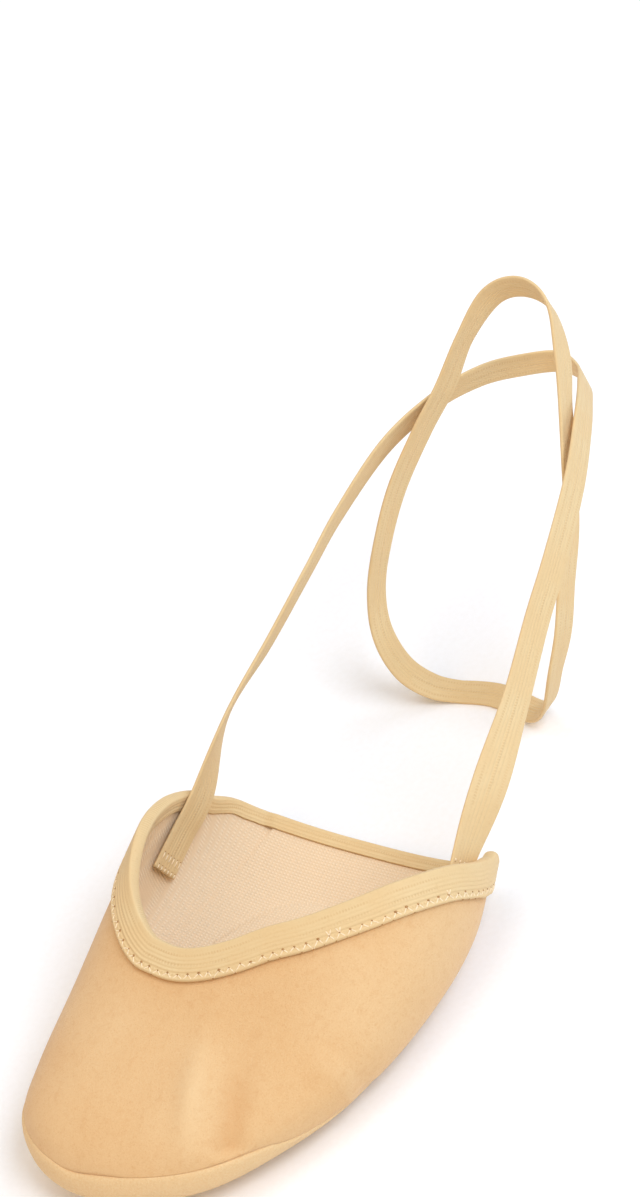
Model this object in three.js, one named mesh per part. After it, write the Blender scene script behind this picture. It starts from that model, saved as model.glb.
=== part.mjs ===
// Half shoe for rhythmic gymnastics: a thin toe cap on a soft suede sole, with a flat elastic binding
// around its opening, an elastic ankle strap and an elastic heel loop.
// Left shoe, in the form that it has when worn flat on the floor. Millimetres.
// +X points to the toe, +Y to the outer side and +Z up. The origin is on the floor under the ball.
import * as THREE from "three";

// Driving sizes
const TOE_X = 80;
const LAST_LENGTH = 145;
const UPPER_WALL = 1.2;
const SOLE_THICKNESS = 2.0;
const SOLE_STEP = 0.4;
const SOLE_SKIVE = { from: 96, to: 110 };
const INSOLE_THICKNESS = 0.8;
const GAP = 0.3;
const BINDING = { width: 7.8, thickness: 1.1, beyond: 0.2 };
const STRAP = { thickness: 1.0, wallGap: 1.15 };
const SQUARENESS = { above: 2.15, below: 2.9, fullAt: 0.35 };
const STRIDE = 0.8;

// The last, section by section: how far the section is back from the toe tip, then its outermost and
// innermost points across, its lowest, highest and widest heights, and the crest's place across.
const LAST_COLUMNS = ["back", "outer", "inner", "base", "top", "widest", "crest"];
const LAST_ROWS = [
  [0, -13, -13, 8.5, 8.5, 8.5, -13],
  [4, 5, -27.5, 5.5, 16.7, 9.5, -14],
  [12, 17.7, -35.7, 3.5, 21.5, 10.5, -15],
  [25, 27.8, -39.4, 1.7, 24.7, 11.5, -16],
  [45, 37.8, -42.6, 0.2, 28.9, 12.5, -17],
  [70, 43.7, -44.2, -0.2, 40.7, 14.5, -16],
  [95, 43.9, -43, 0, 53.5, 17.5, -14],
  [120, 37.2, -39.4, 3.5, 58.5, 22.5, -11],
  [145, 31.5, -35.8, 8.5, 66.5, 26.5, -8],
];

// The opening's edge, once around the section: 0 degrees is the crest, 90 the outer side, 180 the sole.
const OPENING_COLUMNS = ["degrees", "back"];
const OPENING_ROWS = [
  [-150, 116.5],
  [-124, 115],
  [-104, 112.5],
  [-87, 106.5],
  [-72, 98],
  [-58, 88],
  [-46, 79],
  [-35, 71],
  [-25, 65],
  [-14, 60],
  [-4, 56.5],
  [5, 55],
  [11, 56.3],
  [18, 60],
  [25, 65],
  [33, 70],
  [45, 79],
  [55, 87],
  [70, 98],
  [84, 106],
  [95, 113],
  [106, 115.5],
  [124, 116.5],
  [150, 117],
  [180, 117],
];

// The seam between upper and sole, from the toe back along one side. It ends at the opening's edge.
const SEAM_END_DEGREES = 142;
const SEAM_COLUMNS = ["back", "degrees"];
const SEAM_ROWS = [
  [1.6, 0],
  [2.8, 35],
  [7, 62],
  [14, 76],
  [23, 86],
  [32, 98],
  [42, 108.5],
  [60, 121],
  [85, 134],
];

// Centre lines of the straps on the outer side, which way their outer face looks, and their width, which
// grows where the stretch ends. The inner side mirrors them. The tucked rows of the ankle strap lie inside
// the collar, against the wall.
const TUCK_COLUMNS = ["back", "degrees", "width"];
const TUCK_ROWS = [
  [85, 89, 9.6],
  [95, 85.5, 9.4],
  [105, 81.5, 9],
];
const ROUTE_COLUMNS = ["back", "side", "height", "faceX", "faceY", "faceZ", "width"];
const ANKLE_ROWS = [
  [123, 39, 35.4, 0, 0.9, 0.5, 8.4],
  [143, 36.5, 41.8, -0.05, 0.95, 0.5, 7.8],
  [162, 33.8, 49.2, -0.1, 1, 0.5, 7.6],
  [177, 32, 54.6, -0.15, 1, 0.45, 7.6],
  [197, 28, 60.5, -0.35, 1, 0.4, 7.6],
  [213, 22, 62.5, -0.45, 0.85, 0.3, 7.6],
  [225.5, 15.6, 61.5, -0.6, 0.8, 0.2, 7.6],
  [234.5, 9, 58.5, -0.85, 0.6, 0.1, 7.6],
  [239, 0, 57.5, -1, 0, 0.05, 7.6],
];
const HEEL_ROWS = [
  [234, 0, 87, -1, 0, 0.15, 7.6],
  [231.5, 8.5, 84.5, -0.75, 0.65, 0.2, 7.6],
  [223.5, 14.4, 76.5, -0.35, 0.9, 0.3, 7.6],
  [214.5, 17.8, 67.5, -0.45, 0.87, 0.25, 7.6],
  [205, 21.8, 59.8, -0.4, 0.9, 0.25, 7.6],
  [193.5, 26, 49.5, -0.3, 0.95, 0.2, 7.6],
  [183, 27.5, 39.5, -0.15, 1, 0.15, 7.6],
  [175.5, 28, 30, -0.05, 1, 0.05, 7.6],
  [170, 26, 20.5, 0, 1, -0.2, 7.6],
  [168.5, 22.2, 10.3, 0, 0.85, -0.55, 7.6],
  [170, 16.5, 3.4, 0, 0.45, -0.9, 7.6],
  [172.5, 9.5, 0.5, 0, 0, -1, 7.6],
  [174, 0, 0.5, 0, 0, -1, 7.6],
];

// How finely each piece is divided
const STEPS = {
  seam: 76,
  seamEnd: 2,
  upperRows: 12,
  soleRear: 14,
  bindingRound: 92,
  bindingRows: 3,
  insoleRound: 48,
  strapRows: 2,
  ankle: 64,
  heel: 84,
};
const SOLE_RINGS = [0.2, 0.38, 0.54, 0.68, 0.8, 0.9, 0.96, 1];
const SOLE_HUB = -0.6;
const INSOLE = { hub: -0.54, along: 0.28, across: 0.38, clear: 0.5, rings: [0.35, 0.65, 0.85, 1] };

const FINISHES = {
  upper: { color: 0xeabf8c, roughness: 0.9, metalness: 0 },
  sole: { color: 0xecc796, roughness: 0.92, metalness: 0 },
  insole: { color: 0xe3bd92, roughness: 0.95, metalness: 0 },
  elastic: { color: 0xf2d4a3, roughness: 0.75, metalness: 0 },
};

// Tables and smooth curves

function table(columns, rows) {
  return Object.fromEntries(columns.map((name, column) => [name, rows.map((row) => row[column])]));
}

function records(columns, rows) {
  return rows.map((row) => Object.fromEntries(columns.map((name, column) => [name, row[column]])));
}

// A value between a table's rows: cubic pieces, each row's slope being that between its neighbours.
function smoothAt(keys, values, key) {
  const last = keys.length - 1;
  const above = Math.min(last, Math.max(1, keys.findIndex((k) => k >= key)));
  const next = key > keys[last] ? last : above;
  const slope = (n) => {
    const a = Math.max(0, n - 1);
    const b = Math.min(last, n + 1);
    return (values[b] - values[a]) / (keys[b] - keys[a]);
  };
  const span = keys[next] - keys[next - 1];
  const t = (key - keys[next - 1]) / span;
  const start = values[next - 1];
  const end = values[next];
  const leave = slope(next - 1) * span;
  const arrive = slope(next) * span;
  const bend = t * t * (3 - 2 * t);
  return start + (end - start) * bend + leave * t * (1 - t) ** 2 - arrive * t * t * (1 - t);
}

const last = table(LAST_COLUMNS, LAST_ROWS);
const reach = last.back.map((back) => Math.sqrt(back / LAST_LENGTH));

// The opening's rows, repeated one turn before and after so that the curve closes.
const opening = table(
  OPENING_COLUMNS,
  [-360, 0, 360].flatMap((turn) => OPENING_ROWS.map(([degrees, back]) => [degrees + turn, back])),
);

// The chart is a flat map of the last's skin. Its centre is the toe tip, x runs up to the crest,
// y out to the outer side, and the distance from the centre is the square root of the place back.
function chart(back, degrees) {
  const angle = THREE.MathUtils.degToRad(degrees);
  const radius = Math.sqrt(back / LAST_LENGTH);
  return new THREE.Vector2(radius * Math.cos(angle), radius * Math.sin(angle));
}

function openingChart(degrees) {
  return chart(smoothAt(opening.degrees, opening.back, degrees), degrees);
}

// A point of the last's skin. Each section is a superellipse, squarer below than above.
function skin(place) {
  const radius = place.length();
  const cos = radius > 0 ? place.x / radius : 1;
  const sin = radius > 0 ? place.y / radius : 0;
  const size = (name) => smoothAt(reach, last[name], radius);
  const squareness = cos >= 0 ? SQUARENESS.above : SQUARENESS.below;
  const share = THREE.MathUtils.smoothstep(radius, 0, SQUARENESS.fullAt);
  const power = 2 / (2 + (squareness - 2) * share);
  const side = sin >= 0 ? size("outer") : size("inner");
  const middle = cos >= 0 ? size("crest") : (size("outer") + size("inner")) / 2;
  const end = cos >= 0 ? size("top") : size("base");
  return new THREE.Vector3(
    TOE_X - LAST_LENGTH * radius ** 2,
    middle + (side - middle) * Math.abs(sin) ** power,
    size("widest") + (end - size("widest")) * Math.abs(cos) ** power,
  );
}

function skinSlopes(place) {
  const step = 0.002;
  const slope = (x, y) => {
    const ahead = skin(new THREE.Vector2(place.x + x, place.y + y));
    return ahead.sub(skin(new THREE.Vector2(place.x - x, place.y - y))).divideScalar(2 * step);
  };
  return [slope(step, 0), slope(0, step)];
}

function skinNormal(place) {
  const [upward, sideways] = skinSlopes(place);
  return sideways.cross(upward).normalize();
}

// The skin moved out by a lift, and held up where it would come lower than the given floor.
function lifted(place, lift, floor = 0) {
  const point = skin(place).addScaledVector(skinNormal(place), lift);
  point.z = Math.max(point.z, floor);
  return point;
}

// A line of chart places moved sideways on the skin, towards the toe cap. One stride is short enough
// to count the skin as flat.
function stride(line, length, closed) {
  return line.map((place, n) => {
    const before = closed ? line.at(n - 1) : line[Math.max(0, n - 1)];
    const after = closed ? line[(n + 1) % line.length] : line[Math.min(line.length - 1, n + 1)];
    const along = skin(after).sub(skin(before));
    const move = along.cross(skinNormal(place)).normalize().multiplyScalar(length);
    const [up, side] = skinSlopes(place);
    const mixed = up.dot(side);
    const size = up.dot(up) * side.dot(side) - mixed ** 2;
    return new THREE.Vector2(
      place.x + (side.dot(side) * up.dot(move) - mixed * side.dot(move)) / size,
      place.y + (up.dot(up) * side.dot(move) - mixed * up.dot(move)) / size,
    );
  });
}

function sidestep(line, distance, closed) {
  const strides = Math.ceil(Math.abs(distance) / STRIDE);
  let moved = line;
  for (let n = 0; n < strides; n += 1) {
    moved = stride(moved, distance / strides, closed);
  }
  return moved;
}

// Closed solids

// Reverses the faces if they enclose a negative volume, so that they look out of the solid.
function facingOut(points, faces) {
  let volume = 0;
  for (let n = 0; n < faces.length; n += 3) {
    const [a, b, c] = [points[faces[n]], points[faces[n + 1]], points[faces[n + 2]]];
    volume += a.dot(b.clone().cross(c));
  }
  return volume < 0 ? faces.reverse() : faces;
}

// One closed solid between two matching grids of points, outer and inner. A ring's last column meets
// its first. Hubs are the pair of points that close the first row of a ring to a disc.
function slab(outer, inner, { ring = false, hubs = [] } = {}) {
  const columns = outer[0].length;
  const layer = outer.length * columns;
  const points = [...outer.flat(), ...inner.flat(), ...hubs];
  const out = (row, column) => row * columns + (column % columns);
  const into = (row, column) => layer + out(row, column);
  const faces = [];
  const quad = (a, b, c, d) => faces.push(a, b, c, a, c, d);
  const end = ring ? columns : columns - 1;
  const rim = outer.length - 1;
  for (let c = 0; c < end; c += 1) {
    for (let r = 0; r < rim; r += 1) {
      quad(out(r, c), out(r, c + 1), out(r + 1, c + 1), out(r + 1, c));
      quad(into(r, c), into(r + 1, c), into(r + 1, c + 1), into(r, c + 1));
    }
    quad(out(rim, c), out(rim, c + 1), into(rim, c + 1), into(rim, c));
    if (hubs.length) {
      faces.push(2 * layer, out(0, c + 1), out(0, c));
      faces.push(2 * layer + 1, into(0, c), into(0, c + 1));
    } else {
      quad(into(0, c), into(0, c + 1), out(0, c + 1), out(0, c));
    }
  }
  for (let r = 0; r < rim && !ring; r += 1) {
    quad(out(r + 1, end), out(r, end), into(r, end), into(r + 1, end));
    quad(out(r, 0), out(r + 1, 0), into(r + 1, 0), into(r, 0));
  }
  const geometry = new THREE.BufferGeometry().setFromPoints(points);
  geometry.setIndex(facingOut(points, faces));
  geometry.computeVertexNormals();
  return geometry;
}

// Rows of places, straight on the chart from one line of places to another.
function rowsBetween(from, to, count) {
  return Array.from({ length: count + 1 }, (_, row) =>
    from.map((place, n) => place.clone().lerp(to[n], row / count)),
  );
}

// Chart lines that the pieces share

function seamLine() {
  const end = openingChart(SEAM_END_DEGREES);
  const rows = records(SEAM_COLUMNS, SEAM_ROWS).map(({ back, degrees }) => chart(back, degrees));
  const outerSide = [end, ...rows.reverse()];
  const innerSide = outerSide.slice(0, -1).reverse().map((place) => new THREE.Vector2(place.x, -place.y));
  return new THREE.SplineCurve([...outerSide, ...innerSide]).getSpacedPoints(STEPS.seam);
}

function openingLine(from, to, count) {
  return Array.from({ length: count + 1 }, (_, n) => openingChart(from + ((to - from) * n) / count));
}

const seam = seamLine();
const aboveSeam = sidestep(seam, GAP / 2, false);
const belowSeam = sidestep(seam, -GAP / 2, false);

// Pieces

// The toe cap: one thin wall from the seam to the opening, open behind and underneath.
function upper() {
  const lower = aboveSeam.slice(STEPS.seamEnd, -STEPS.seamEnd);
  const edge = openingLine(SEAM_END_DEGREES, -SEAM_END_DEGREES, lower.length - 1);
  edge[0] = aboveSeam[0];
  edge[edge.length - 1] = aboveSeam.at(-1);
  const places = rowsBetween(lower, edge, STEPS.upperRows);
  const layer = (lift) => places.map((row) => row.map((place) => lifted(place, lift)));
  return slab(layer(0), layer(-UPPER_WALL));
}

// The sole's outer face stands a little proud of the upper, and is skived down under the binding.
function soleLift(place) {
  const back = LAST_LENGTH * place.lengthSq();
  return SOLE_STEP * (1 - THREE.MathUtils.smoothstep(back, SOLE_SKIVE.from, SOLE_SKIVE.to));
}

function sole() {
  const rear = openingLine(-SEAM_END_DEGREES, SEAM_END_DEGREES - 360, STEPS.soleRear).slice(1, -1);
  const rim = [...belowSeam, ...rear];
  const hub = new THREE.Vector2(SOLE_HUB, 0);
  const places = SOLE_RINGS.map((share) => rim.map((place) => hub.clone().lerp(place, share)));
  const outer = (place) => lifted(place, soleLift(place));
  const inner = (place) => lifted(place, soleLift(place) - SOLE_THICKNESS, SOLE_THICKNESS);
  return slab(
    places.map((row) => row.map(outer)),
    places.map((row) => row.map(inner)),
    { ring: true, hubs: [outer(hub), inner(hub)] },
  );
}

// A thin pad on the sole, from the toe end to behind the ball.
function insole() {
  const hub = new THREE.Vector2(INSOLE.hub, 0);
  const places = INSOLE.rings.map((share) =>
    Array.from({ length: STEPS.insoleRound }, (_, n) => {
      const turn = (2 * Math.PI * n) / STEPS.insoleRound;
      const offset = new THREE.Vector2(INSOLE.along * Math.cos(turn), INSOLE.across * Math.sin(turn));
      return offset.multiplyScalar(share).add(hub);
    }),
  );
  const below = SOLE_THICKNESS + INSOLE.clear;
  const above = below + INSOLE_THICKNESS;
  const under = (place) => lifted(place, SOLE_STEP - below, below);
  const top = (place) => lifted(place, SOLE_STEP - above, above);
  return slab(
    places.map((row) => row.map(under)),
    places.map((row) => row.map(top)),
    { ring: true, hubs: [under(hub), top(hub)] },
  );
}

// A flat elastic band around the opening, over the upper's edge and under the arch over the sole's.
function collarBinding() {
  const edge = openingLine(-180, 180, STEPS.bindingRound).slice(1);
  const places = Array.from({ length: STEPS.bindingRows + 1 }, (_, row) =>
    sidestep(edge, (BINDING.width * row) / STEPS.bindingRows - BINDING.beyond, true),
  );
  const layer = (lift) => places.map((row) => row.map((place) => lifted(place, lift)));
  return slab(layer(GAP + BINDING.thickness), layer(GAP), { ring: true });
}

// A flat band along a route of points, each with the direction that its outer face looks in and a width.
function band(route, steps, closed) {
  const smooth = (vectors) => new THREE.CatmullRomCurve3(vectors, closed, "catmullrom", 0.5);
  const path = smooth(route.map((stop) => stop.point));
  const facing = smooth(route.map((stop) => stop.face));
  const widths = smooth(route.map((stop) => new THREE.Vector3(stop.width, 0, 0)));
  const count = closed ? steps : steps + 1;
  const frames = Array.from({ length: count }, (_, n) => {
    const point = path.getPoint(n / steps);
    const along = path.getTangent(n / steps);
    const face = facing.getPoint(n / steps);
    face.addScaledVector(along, -face.dot(along)).normalize();
    const across = along.clone().cross(face).setLength(widths.getPoint(n / steps).x);
    return { point, face, across };
  });
  const layer = (lift, floor) =>
    Array.from({ length: STEPS.strapRows + 1 }, (_, row) => {
      const offset = row / STEPS.strapRows - 0.5;
      return frames.map(({ point, face, across }) => {
        const corner = point.clone().addScaledVector(across, offset).addScaledVector(face, lift);
        corner.z = Math.max(corner.z, floor);
        return corner;
      });
    });
  const half = STRAP.thickness / 2;
  return slab(layer(half, 0), layer(-half, STRAP.thickness), { ring: closed });
}

function routeStops(rows) {
  return records(ROUTE_COLUMNS, rows).map(({ back, side, height, faceX, faceY, faceZ, width }) => ({
    point: new THREE.Vector3(TOE_X - back, side, height),
    face: new THREE.Vector3(faceX, faceY, faceZ).normalize(),
    width,
  }));
}

function mirrored(stops) {
  const flip = new THREE.Vector3(1, -1, 1);
  return stops.map(({ point, face, width }) => ({
    point: point.clone().multiply(flip),
    face: face.clone().multiply(flip),
    width,
  }));
}

// The strap's end inside the collar, flat against the wall of the given side.
function tuckedEnd(side) {
  const depth = UPPER_WALL + STRAP.wallGap + STRAP.thickness / 2;
  return records(TUCK_COLUMNS, TUCK_ROWS).map(({ back, degrees, width }) => {
    const place = chart(back, side * degrees);
    return { point: lifted(place, -depth), face: skinNormal(place), width };
  });
}

function ankleStrap() {
  const outerSide = routeStops(ANKLE_ROWS);
  const innerSide = mirrored(outerSide.slice(0, -1)).reverse();
  const route = [...tuckedEnd(1), ...outerSide, ...innerSide, ...tuckedEnd(-1).reverse()];
  return band(route, STEPS.ankle, false);
}

function heelStrap() {
  const outerSide = routeStops(HEEL_ROWS);
  return band([...outerSide, ...mirrored(outerSide.slice(1, -1)).reverse()], STEPS.heel, true);
}

const PIECES = [
  { name: "upper", make: upper, finish: FINISHES.upper },
  { name: "sole", make: sole, finish: FINISHES.sole },
  { name: "insole", make: insole, finish: FINISHES.insole },
  { name: "collar_binding", make: collarBinding, finish: FINISHES.elastic },
  { name: "ankle_strap", make: ankleStrap, finish: FINISHES.elastic },
  { name: "heel_strap", make: heelStrap, finish: FINISHES.elastic },
];

const group = new THREE.Group();
for (const { name, make, finish } of PIECES) {
  const mesh = new THREE.Mesh(make(), new THREE.MeshStandardMaterial(finish));
  mesh.name = name;
  group.add(mesh);
}

export default group;
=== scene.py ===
"""Looks of a left half shoe for rhythmic gymnastics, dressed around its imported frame.

The shoe is a thin toe cap of brushed microfibre on a soft suede sole. A flat woven elastic binds the
opening, a strap of the same elastic runs round behind, and a second loop of it stands there on the floor.
Shapes are worked out in millimetres, in the frame's axes: +X to the toe, +Y to the outer side, +Z up, the
floor at 0.
"""

import logging
from dataclasses import dataclass, field
from enum import Enum
from typing import NamedTuple

import bpy
import numpy as np
from mathutils import Matrix, Vector


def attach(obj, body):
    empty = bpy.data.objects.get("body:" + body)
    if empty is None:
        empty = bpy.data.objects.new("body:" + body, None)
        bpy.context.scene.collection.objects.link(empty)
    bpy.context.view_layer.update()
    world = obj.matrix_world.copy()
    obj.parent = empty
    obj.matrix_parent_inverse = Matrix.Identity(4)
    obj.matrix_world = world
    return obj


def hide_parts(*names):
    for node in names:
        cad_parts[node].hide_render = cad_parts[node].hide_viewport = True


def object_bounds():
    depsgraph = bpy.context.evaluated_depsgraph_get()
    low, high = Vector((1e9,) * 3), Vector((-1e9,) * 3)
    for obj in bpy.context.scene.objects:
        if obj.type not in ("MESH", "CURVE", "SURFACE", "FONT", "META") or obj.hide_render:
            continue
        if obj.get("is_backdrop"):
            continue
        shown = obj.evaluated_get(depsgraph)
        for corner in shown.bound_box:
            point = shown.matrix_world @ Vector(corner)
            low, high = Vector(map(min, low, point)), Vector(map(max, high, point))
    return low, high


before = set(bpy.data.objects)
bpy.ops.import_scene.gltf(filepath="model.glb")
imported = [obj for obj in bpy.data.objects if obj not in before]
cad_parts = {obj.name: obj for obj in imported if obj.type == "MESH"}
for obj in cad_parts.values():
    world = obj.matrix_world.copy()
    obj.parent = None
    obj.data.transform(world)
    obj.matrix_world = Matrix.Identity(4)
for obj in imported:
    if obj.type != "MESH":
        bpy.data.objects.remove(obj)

Array = np.ndarray
Output = bpy.types.NodeSocket
MM = 0.001
BODY = "root"
FLAT_MAP = "band"
# A wave texture's bands lie this far apart at a scale of 1.
WAVE_LENGTH = 0.1 * np.pi
# The least length to divide by.
TINY = 1e-9
# A smooth line is first worked out at this many places for each of its rows or steps.
FINE = 40
log = logging.getLogger("half_shoe")


class Side(Enum):
    """The two sides of the shoe, and of a strap, as the sign of their direction."""

    OUTER = 1
    INNER = -1


class Face(Enum):
    """The parts of a thin wall's surface, as the index of their material."""

    OUTSIDE = 0
    INSIDE = 1
    RIM = 2


# Colours and nodes


def linear(code: str) -> tuple[float, float, float, float]:
    """Turns an sRGB colour into linear light.

    Args:
        code: The colour as "#rrggbb".

    Returns:
        Red, green, blue and alpha.
    """
    parts = np.array([int(code[n : n + 2], 16) for n in (1, 3, 5)]) / 255
    light = np.where(parts <= 0.04045, parts / 12.92, ((parts + 0.055) / 1.055) ** 2.4)
    return (*light.tolist(), 1.0)


def repeats(size_mm: float) -> float:
    """Gives the scale of a texture whose grains are of a real size."""
    return 1 / (size_mm * MM)


def add_node(
    tree: bpy.types.NodeTree,
    kind: str,
    inputs: dict[int | str, object],
    give: int | str = 0,
    **settings: object,
) -> Output | None:
    """Adds a shader node with its settings and links.

    Args:
        tree: The node tree.
        kind: The node's type, without the "ShaderNode" that all types start with.
        inputs: For a socket's name or number, a value or the output to link to it.
        give: The name or number of the output that is wanted.
        **settings: The node's own properties.

    Returns:
        That output, or None from a node without outputs.
    """
    node = tree.nodes.new("ShaderNode" + kind)
    for name, value in settings.items():
        setattr(node, name, value)
    for key, value in inputs.items():
        if isinstance(value, Output):
            tree.links.new(value, node.inputs[key])
        else:
            node.inputs[key].default_value = value
    return node.outputs[give] if node.outputs else None


# Finishes


class Tone(NamedTuple):
    """A colour laid over those before it: the pattern that it follows, two values of that pattern, the
    colour's share at each of them, and the name of the finish's colour."""

    pattern: str
    low: float
    high: float
    share_low: float
    share_high: float
    color: str


@dataclass(frozen=True)
class Finish:
    """A material: its colours and relief, and the shader values that are the same all over."""

    name: str = "finish"
    roughness: float = 0.9
    specular: float = 0.25
    sheen: float = 0.0
    sheen_roughness: float = 0.5
    relief_mm: float = 0.1
    color: str = "#ffffff"
    tones: tuple[Tone, ...] = ()

    def material(self) -> bpy.types.Material:
        """Builds the material, with its tones laid over its colour in their order.

        Returns:
            The material, with its nodes.
        """
        material = bpy.data.materials.new(self.name)
        material.use_nodes = True
        tree = material.node_tree
        tree.nodes.clear()
        patterns = self.patterns(tree, add_node(tree, "TexCoord", {}, "Object"))
        color = linear(self.color)
        for tone in self.tones:
            fade = {1: tone.low, 2: tone.high, 3: tone.share_low, 4: tone.share_high}
            share = add_node(tree, "MapRange", {0: patterns[tone.pattern], **fade})
            layers = {0: share, 6: color, 7: linear(getattr(self, tone.color))}
            color = add_node(tree, "Mix", layers, 2, data_type="RGBA")
        bump = {"Strength": 1.0, "Distance": self.relief_mm * MM, "Height": patterns["relief"]}
        inputs = {
            "Base Color": color,
            "Normal": add_node(tree, "Bump", bump),
            "Roughness": self.roughness,
            "Specular IOR Level": self.specular,
            "Sheen Weight": self.sheen,
            "Sheen Roughness": self.sheen_roughness,
        }
        add_node(tree, "OutputMaterial", {"Surface": add_node(tree, "BsdfPrincipled", inputs)})
        return material

    def patterns(self, tree: bpy.types.NodeTree, place: Output) -> dict[str, Output]:
        """Makes the patterns that the tones follow, by their names, and the relief from 0 to 1."""
        raise NotImplementedError


@dataclass(frozen=True)
class BrushedMicrofibre(Finish):
    """Polyester microfibre, knitted and then brushed."""

    # The eye sees a soft dull skin, paler where the nap stands up and deeper where it lies down.
    name: str = "brushed_microfibre"
    roughness: float = 0.92
    sheen: float = 0.2
    relief_mm: float = 0.2
    color: str = "#dfb580"
    pale: str = "#e9c999"
    deep: str = "#cb9157"
    tones: tuple[Tone, ...] = (
        Tone("patch", 0.35, 0.65, 0.0, 0.3, "pale"),
        Tone("mottle", 0.5, 0.8, 0.0, 0.25, "deep"),
        Tone("nap", 0.55, 0.72, 0.0, 0.35, "deep"),
        Tone("nap", 0.3, 0.46, 0.35, 0.0, "pale"),
        # Painted highlight on the ridges and painted shade in the troughs, following the forms' height.
        Tone("form_shading", 0.2, 1.4, 0.0, 0.5, "pale"),
        Tone("form_shading", -1.6, -0.2, 0.3, 0.0, "deep"),
    )
    # The real tufts, 0.1 mm apart, are too fine to show, so they are drawn four times as coarse.
    nap_mm: float = 0.4
    mottle_mm: float = 2.0
    mottle_relief: float = 0.45
    patch_mm: float = 26.0
    # The mesh attribute that says how far the cloth stands up over its forms, in millimetres; the tones use it to
    # paint the ridges paler and the troughs darker, as painted light and shade.
    form_shading: str = "form_shading"

    def patterns(self, tree: bpy.types.NodeTree, place: Output) -> dict[str, Output]:
        """Makes the fine nap, a mottle, broad patches, and the forms' height, which paints light and shade over
        them.

        Args:
            tree: The material's node tree.
            place: The output that carries the place on the shoe.

        Returns:
            The patterns by name, with the relief.
        """
        look = {"Vector": place, "Scale": repeats(self.nap_mm), "Detail": 3.0, "Roughness": 0.65}
        nap = add_node(tree, "TexNoise", look)
        look = {"Vector": place, "Scale": repeats(self.mottle_mm), "Detail": 3.0, "Roughness": 0.6}
        mottle = add_node(tree, "TexNoise", look)
        return {
            "nap": nap,
            "mottle": mottle,
            "patch": add_node(tree, "TexNoise", {"Vector": place, "Scale": repeats(self.patch_mm)}),
            "form_shading": add_node(tree, "Attribute", {}, "Fac", attribute_name=self.form_shading),
            "relief": add_node(tree, "Mix", {0: self.mottle_relief, 2: nap, 3: mottle}),
        }


@dataclass(frozen=True)
class SplitSuede(Finish):
    """Split cowhide suede, sanded."""

    # The eye sees open coarse fibres, and a darker, smoother place where the floor has polished them.
    name: str = "sanded_split_suede"
    roughness: float = 0.94
    specular: float = 0.2
    sheen: float = 0.15
    relief_mm: float = 0.25
    color: str = "#e9c28d"
    pale: str = "#f0d1a0"
    worn: str = "#c79865"
    tones: tuple[Tone, ...] = (
        Tone("fibre", 0.35, 0.7, 0.0, 1.0, "pale"),
        Tone("wear", 0.0, 1.0, 0.0, 1.0, "worn"),
    )
    fibre_mm: float = 0.5
    cloud_mm: float = 7.0
    # The wear fades between these two distances from its centre, and up to this height.
    wear_center_mm: tuple[float, float, float] = (6.0, 2.0, 0.0)
    wear_mm: tuple[float, float] = (6.0, 39.0)
    wear_height_mm: float = 1.0
    wear_share: float = 0.6

    def patterns(self, tree: bpy.types.NodeTree, place: Output) -> dict[str, Output]:
        """Makes the fibres, and the cloudy worn place under the ball.

        Args:
            tree: The material's node tree.
            place: The output that carries the place on the shoe.

        Returns:
            The patterns by name, with the relief.
        """
        look = {"Vector": place, "Scale": repeats(self.fibre_mm), "Detail": 4.0, "Roughness": 0.75}
        fibre = add_node(tree, "TexNoise", look)
        cloud = add_node(tree, "TexNoise", {"Vector": place, "Scale": repeats(self.cloud_mm), "Detail": 3.0})
        center = tuple(value * MM for value in self.wear_center_mm)
        away = add_node(tree, "VectorMath", {0: place, 1: center}, "Value", operation="DISTANCE")
        height = add_node(tree, "SeparateXYZ", {0: place}, "Z")
        near, far = [value * MM for value in self.wear_mm]
        wear = add_node(tree, "MapRange", {0: cloud, 1: 0.3, 2: 0.62})
        fades = (
            {0: away, 1: near, 2: far, 3: 1.0, 4: 0.0},
            {0: height, 1: 0.0, 2: self.wear_height_mm * MM, 3: self.wear_share, 4: 0.0},
        )
        for fade in fades:
            share = add_node(tree, "MapRange", fade)
            wear = add_node(tree, "Math", {0: wear, 1: share}, operation="MULTIPLY")
        return {"fibre": fibre, "wear": wear, "relief": fibre}


@dataclass(frozen=True)
class KnittedLining(Finish):
    """Cotton tricot, warp-knitted."""

    # The eye sees fine rows of stitches, matt and a little warmer than the outside.
    name: str = "knitted_cotton_lining"
    roughness: float = 0.95
    specular: float = 0.2
    relief_mm: float = 0.12
    color: str = "#e9cda8"
    stitch: str = "#f3dcbc"
    tones: tuple[Tone, ...] = (
        Tone("stitches", 0.0, 1.0, 0.0, 1.0, "stitch"),
        Tone("slub", 0.4, 0.8, 0.0, 0.4, "color"),
    )
    course_mm: float = 0.8
    wale_mm: float = 1.0
    unevenness: float = 0.4
    slub_mm: float = 3.0

    def patterns(self, tree: bpy.types.NodeTree, place: Output) -> dict[str, Output]:
        """Crosses the courses and wales of the knit.

        Args:
            tree: The material's node tree.
            place: The output that carries the place on the shoe.

        Returns:
            The patterns by name, with the relief.
        """
        waves = []
        for size, bands in ((self.course_mm, "X"), (self.wale_mm, "Y")):
            look = {"Vector": place, "Scale": WAVE_LENGTH * repeats(size), "Distortion": self.unevenness}
            waves.append(add_node(tree, "TexWave", look, "Fac", bands_direction=bands))
        stitches = add_node(tree, "Math", {0: waves[0], 1: waves[1]}, operation="MULTIPLY")
        slub = add_node(tree, "TexNoise", {"Vector": place, "Scale": repeats(self.slub_mm), "Detail": 3.0})
        return {"stitches": stitches, "slub": slub, "relief": stitches}


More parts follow.
